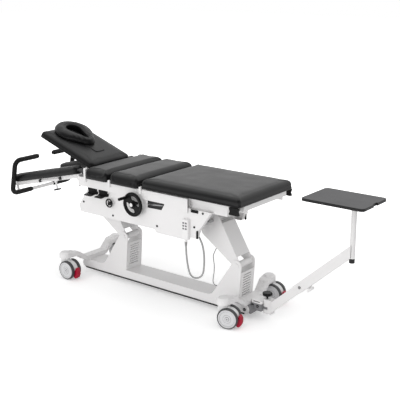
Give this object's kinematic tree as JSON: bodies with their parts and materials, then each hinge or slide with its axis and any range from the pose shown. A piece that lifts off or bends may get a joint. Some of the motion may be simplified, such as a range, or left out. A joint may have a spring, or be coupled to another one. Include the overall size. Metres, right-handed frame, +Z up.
{
  "type": "traction table",
  "caption": "Padded treatment table on parallel lift arms and castors, with tilting head and foot sections, arm rests, handwheel and a telescopic shelf stand.",
  "frame": {"origin": "on the floor, under the middle of the overall box without the two leads", "axes": "+X along the table towards the foot end and the shelf stand, +Y to the side away from the handwheel, +Z up"},
  "size_m": [2.5846, 0.6422, 0.9975],
  "materials": {
    "white_coat": "satin white powder coat",
    "white_plastic": "matte white",
    "dark_plastic": "matte black",
    "grey_cast": "matte dark grey paint",
    "steel": "turned steel",
    "vinyl": "black upholstery vinyl, fine grain",
    "foam": "black foam sleeve",
    "wheel": "grey plastic disc with grey tread",
    "hood": "grey plastic",
    "red_pedal": "red plastic",
    "lead": "grey cable sheath"
  },
  "bodies": {
    "base": {"base_side_plates": "white_coat", "base_covers": "white_coat", "seal_strips": "dark_plastic", "cross_arms": "white_coat", "cross_arm_covers": "white_plastic", "lower_pivot_pins": "steel", "stand_bracket": "grey_cast", "stand_bracket_cover": "white_plastic", "earth_lead": "lead"},
    "foot_arm": {"foot_lift_arm": "white_coat"},
    "head_arm": {"head_lift_arm": "white_coat"},
    "deck": {"lift_actuator": "dark_plastic", "side_panel_near": "white_coat", "side_panel_far": "white_coat", "side_rails": "white_coat", "deck_cross_members": "white_coat", "deck_pivot_shafts": "steel", "panel_plugs_and_trim": "dark_plastic", "cushion_thoracic": "vinyl", "cushion_lumbar": "vinyl", "hand_control": "white_plastic", "hand_control_lead": "lead"},
    "lift_rod": {"lift_actuator_rod": "steel"},
    "flexion": {"flexion_frame": "white_coat"},
    "carriage": {"carriage_frame": "white_coat", "cushion_pelvic": "vinyl", "strap_cleats": "dark_plastic"},
    "pinion": {"flexion_pinion": "steel"},
    "wheel_drive": {"handwheel": "dark_plastic"},
    "wheel_grip": {"handwheel_grip": "dark_plastic"},
    "ring": {"ring_knob": "dark_plastic"},
    "head_lever": {"head_release_lever": "white_plastic"},
    "armrest_lever": {"armrest_release_lever": "white_plastic"},
    "head": {"head_board": "white_coat", "cushion_head": "vinyl", "face_pillow": "vinyl"},
    "armrest": {"armrest_frame": "white_coat", "arm_pads": "vinyl"},
    "handle": {"handlebar": "white_coat", "hand_grips": "foam"},
    "knob_near": {"armrest_knob_near": "dark_plastic"},
    "knob_far": {"armrest_knob_far": "dark_plastic"},
    "stand": {"stand_arm": "white_coat"},
    "stand_knob": {"swivel_knob": "dark_plastic"},
    "beam": {"stand_beam_upper": "white_coat", "tray_post": "white_coat"},
    "beam_knob": {"beam_clamp_knob": "white_plastic"},
    "shelf": {"tray": "grey_cast"},
    "castor_foot_near": {"castor_hood_foot_near": "hood"},
    "wheels_foot_near": {"castor_wheels_foot_near": "wheel"},
    "pedal_foot_near": {"castor_pedal_foot_near": "red_pedal"},
    "castor_foot_far": {"castor_hood_foot_far": "hood"},
    "wheels_foot_far": {"castor_wheels_foot_far": "wheel"},
    "pedal_foot_far": {"castor_pedal_foot_far": "red_pedal"},
    "castor_head_near": {"castor_hood_head_near": "hood"},
    "wheels_head_near": {"castor_wheels_head_near": "wheel"},
    "pedal_head_near": {"castor_pedal_head_near": "red_pedal"},
    "castor_head_far": {"castor_hood_head_far": "hood"},
    "wheels_head_far": {"castor_wheels_head_far": "wheel"},
    "pedal_head_far": {"castor_pedal_head_far": "red_pedal"}
  },
  "joints": [
    {"name": "lift", "type": "hinge", "parent": "base", "child": "foot_arm", "pos_m": [0.47133, 0.03086, 0.311], "axis": [0, 1, 0], "range_deg": [-51, 25], "deforming": ["earth_lead"]},
    {"name": "head_arm_lift", "type": "hinge", "parent": "base", "child": "head_arm", "pos_m": [-0.42467, 0.03086, 0.311], "axis": [0, 1, 0], "range_deg": [-51, 25]},
    {"name": "deck_level", "type": "hinge", "parent": "foot_arm", "child": "deck", "pos_m": [0.2902, 0.03086, 0.5549], "axis": [0, 1, 0], "range_deg": [-25, 51]},
    {"name": "lift_rod_turn", "type": "hinge", "parent": "foot_arm", "child": "lift_rod", "pos_m": [0.2402, 0.03086, 0.4799], "axis": [0, 1, 0], "range_deg": [-25, 51]},
    {"name": "flexion_tilt", "type": "hinge", "parent": "deck", "child": "flexion", "pos_m": [-0.10467, 0.03086, 0.72831], "axis": [0, -1, 0], "range_deg": [0, 20]},
    {"name": "carriage_slide", "type": "slide", "parent": "flexion", "child": "carriage", "axis": [1, 0, 0], "range_m": [0, 0.15]},
    {"name": "pinion_spin", "type": "hinge", "parent": "deck", "child": "pinion", "pos_m": [-0.14767, -0.14714, 0.623], "axis": [0, -1, 0], "range_deg": [-132, 0]},
    {"name": "handwheel_turn", "type": "hinge", "parent": "deck", "child": "wheel_drive", "pos_m": [-0.14767, -0.24914, 0.623], "axis": [0, -1, 0], "range_deg": [-1320, 0]},
    {"name": "handwheel_grip_spin", "type": "hinge", "parent": "wheel_drive", "child": "wheel_grip", "pos_m": [-0.19363, -0.28914, 0.66157], "axis": [0, 1, 0], "continuous": true},
    {"name": "ring_knob_turn", "type": "hinge", "parent": "deck", "child": "ring", "pos_m": [-0.36167, -0.23114, 0.591], "axis": [0, 1, 0], "continuous": true},
    {"name": "head_release", "type": "hinge", "parent": "deck", "child": "head_lever", "pos_m": [-0.51267, -0.21564, 0.653], "axis": [-1, 0, 0], "range_deg": [0, 15], "stiffness_Nm_per_rad": 1.5},
    {"name": "armrest_release", "type": "hinge", "parent": "deck", "child": "armrest_lever", "pos_m": [-0.42067, -0.21564, 0.653], "axis": [-1, 0, 0], "range_deg": [0, 15], "stiffness_Nm_per_rad": 1.5},
    {"name": "head_tilt", "type": "hinge", "parent": "deck", "child": "head", "pos_m": [-0.56767, 0.03086, 0.775], "axis": [0, 1, 0], "range_deg": [0, 35]},
    {"name": "armrest_tilt", "type": "hinge", "parent": "deck", "child": "armrest", "pos_m": [-0.65867, 0.03086, 0.697], "axis": [0, -1, 0], "range_deg": [0, 25]},
    {"name": "handlebar_slide", "type": "slide", "parent": "armrest", "child": "handle", "axis": [-0.9724, 0, -0.2334], "range_m": [0, 0.1]},
    {"name": "armrest_knob_near_turn", "type": "hinge", "parent": "armrest", "child": "knob_near", "pos_m": [-0.88212, -0.18314, 0.6125], "axis": [-0.2334, 0, 0.9724], "continuous": true},
    {"name": "armrest_knob_far_turn", "type": "hinge", "parent": "armrest", "child": "knob_far", "pos_m": [-0.88212, 0.24486, 0.6125], "axis": [-0.2334, 0, 0.9724], "continuous": true},
    {"name": "stand_swivel", "type": "hinge", "parent": "base", "child": "stand", "pos_m": [0.64233, 0.03086, 0.074], "axis": [0, 0, 1], "range_deg": [-45, 45]},
    {"name": "stand_knob_turn", "type": "hinge", "parent": "stand", "child": "stand_knob", "pos_m": [0.64233, 0.03086, 0.15], "axis": [0, 0, 1], "continuous": true},
    {"name": "beam_telescope", "type": "slide", "parent": "stand", "child": "beam", "axis": [0.7408, 0, 0.6717], "range_m": [0, 0.15]},
    {"name": "beam_knob_turn", "type": "hinge", "parent": "beam", "child": "beam_knob", "pos_m": [0.92816, 0.03086, 0.25394], "axis": [-0.6717, 0, 0.7408], "continuous": true},
    {"name": "tray_swivel", "type": "hinge", "parent": "beam", "child": "shelf", "pos_m": [1.17233, 0.03086, 0.787], "axis": [0, 0, 1], "range_deg": [-90, 90]},
    {"name": "castor_swivel_foot_near", "type": "hinge", "parent": "base", "child": "castor_foot_near", "pos_m": [0.49783, -0.20814, 0.14], "axis": [0, 0, 1], "continuous": true},
    {"name": "castor_roll_foot_near", "type": "hinge", "parent": "castor_foot_near", "child": "wheels_foot_near", "pos_m": [0.53436, -0.19767, 0.0625], "axis": [-0.2756, 0.9613, 0], "continuous": true},
    {"name": "castor_brake_foot_near", "type": "hinge", "parent": "castor_foot_near", "child": "pedal_foot_near", "pos_m": [0.57377, -0.18637, 0.036], "axis": [-0.2756, 0.9613, 0], "range_deg": [0, 12]},
    {"name": "castor_swivel_foot_far", "type": "hinge", "parent": "base", "child": "castor_foot_far", "pos_m": [0.49783, 0.26986, 0.14], "axis": [0, 0, 1], "continuous": true},
    {"name": "castor_roll_foot_far", "type": "hinge", "parent": "castor_foot_far", "child": "wheels_foot_far", "pos_m": [0.53562, 0.27383, 0.0625], "axis": [-0.1045, 0.9945, 0], "continuous": true},
    {"name": "castor_brake_foot_far", "type": "hinge", "parent": "castor_foot_far", "child": "pedal_foot_far", "pos_m": [0.5764, 0.27812, 0.036], "axis": [-0.1045, 0.9945, 0], "range_deg": [0, 12]},
    {"name": "castor_swivel_head_near", "type": "hinge", "parent": "base", "child": "castor_head_near", "pos_m": [-0.80167, -0.20814, 0.14], "axis": [0, 0, 1], "continuous": true},
    {"name": "castor_roll_head_near", "type": "hinge", "parent": "castor_head_near", "child": "wheels_head_near", "pos_m": [-0.76369, -0.20681, 0.0625], "axis": [-0.0349, 0.9994, 0], "continuous": true},
    {"name": "castor_brake_head_near", "type": "hinge", "parent": "castor_head_near", "child": "pedal_head_near", "pos_m": [-0.72272, -0.20538, 0.036], "axis": [-0.0349, 0.9994, 0], "range_deg": [0, 12]},
    {"name": "castor_swivel_head_far", "type": "hinge", "parent": "base", "child": "castor_head_far", "pos_m": [-0.80167, 0.26986, 0.14], "axis": [0, 0, 1], "continuous": true},
    {"name": "castor_roll_head_far", "type": "hinge", "parent": "castor_head_far", "child": "wheels_head_far", "pos_m": [-0.76367, 0.26986, 0.0625], "axis": [0, 1, 0], "continuous": true},
    {"name": "castor_brake_head_far", "type": "hinge", "parent": "castor_head_far", "child": "pedal_head_far", "pos_m": [-0.72267, 0.26986, 0.036], "axis": [0, 1, 0], "range_deg": [0, 12]}
  ],
  "couplings": [
    {"joint": "head_arm_lift", "follows": "lift", "ratio": 1},
    {"joint": "deck_level", "follows": "lift", "ratio": -1},
    {"joint": "lift_rod_turn", "follows": "lift", "ratio": -1},
    {"joint": "pinion_spin", "follows": "flexion_tilt", "ratio": -6.5833},
    {"joint": "handwheel_turn", "follows": "flexion_tilt", "ratio": -65.833}
  ]
}
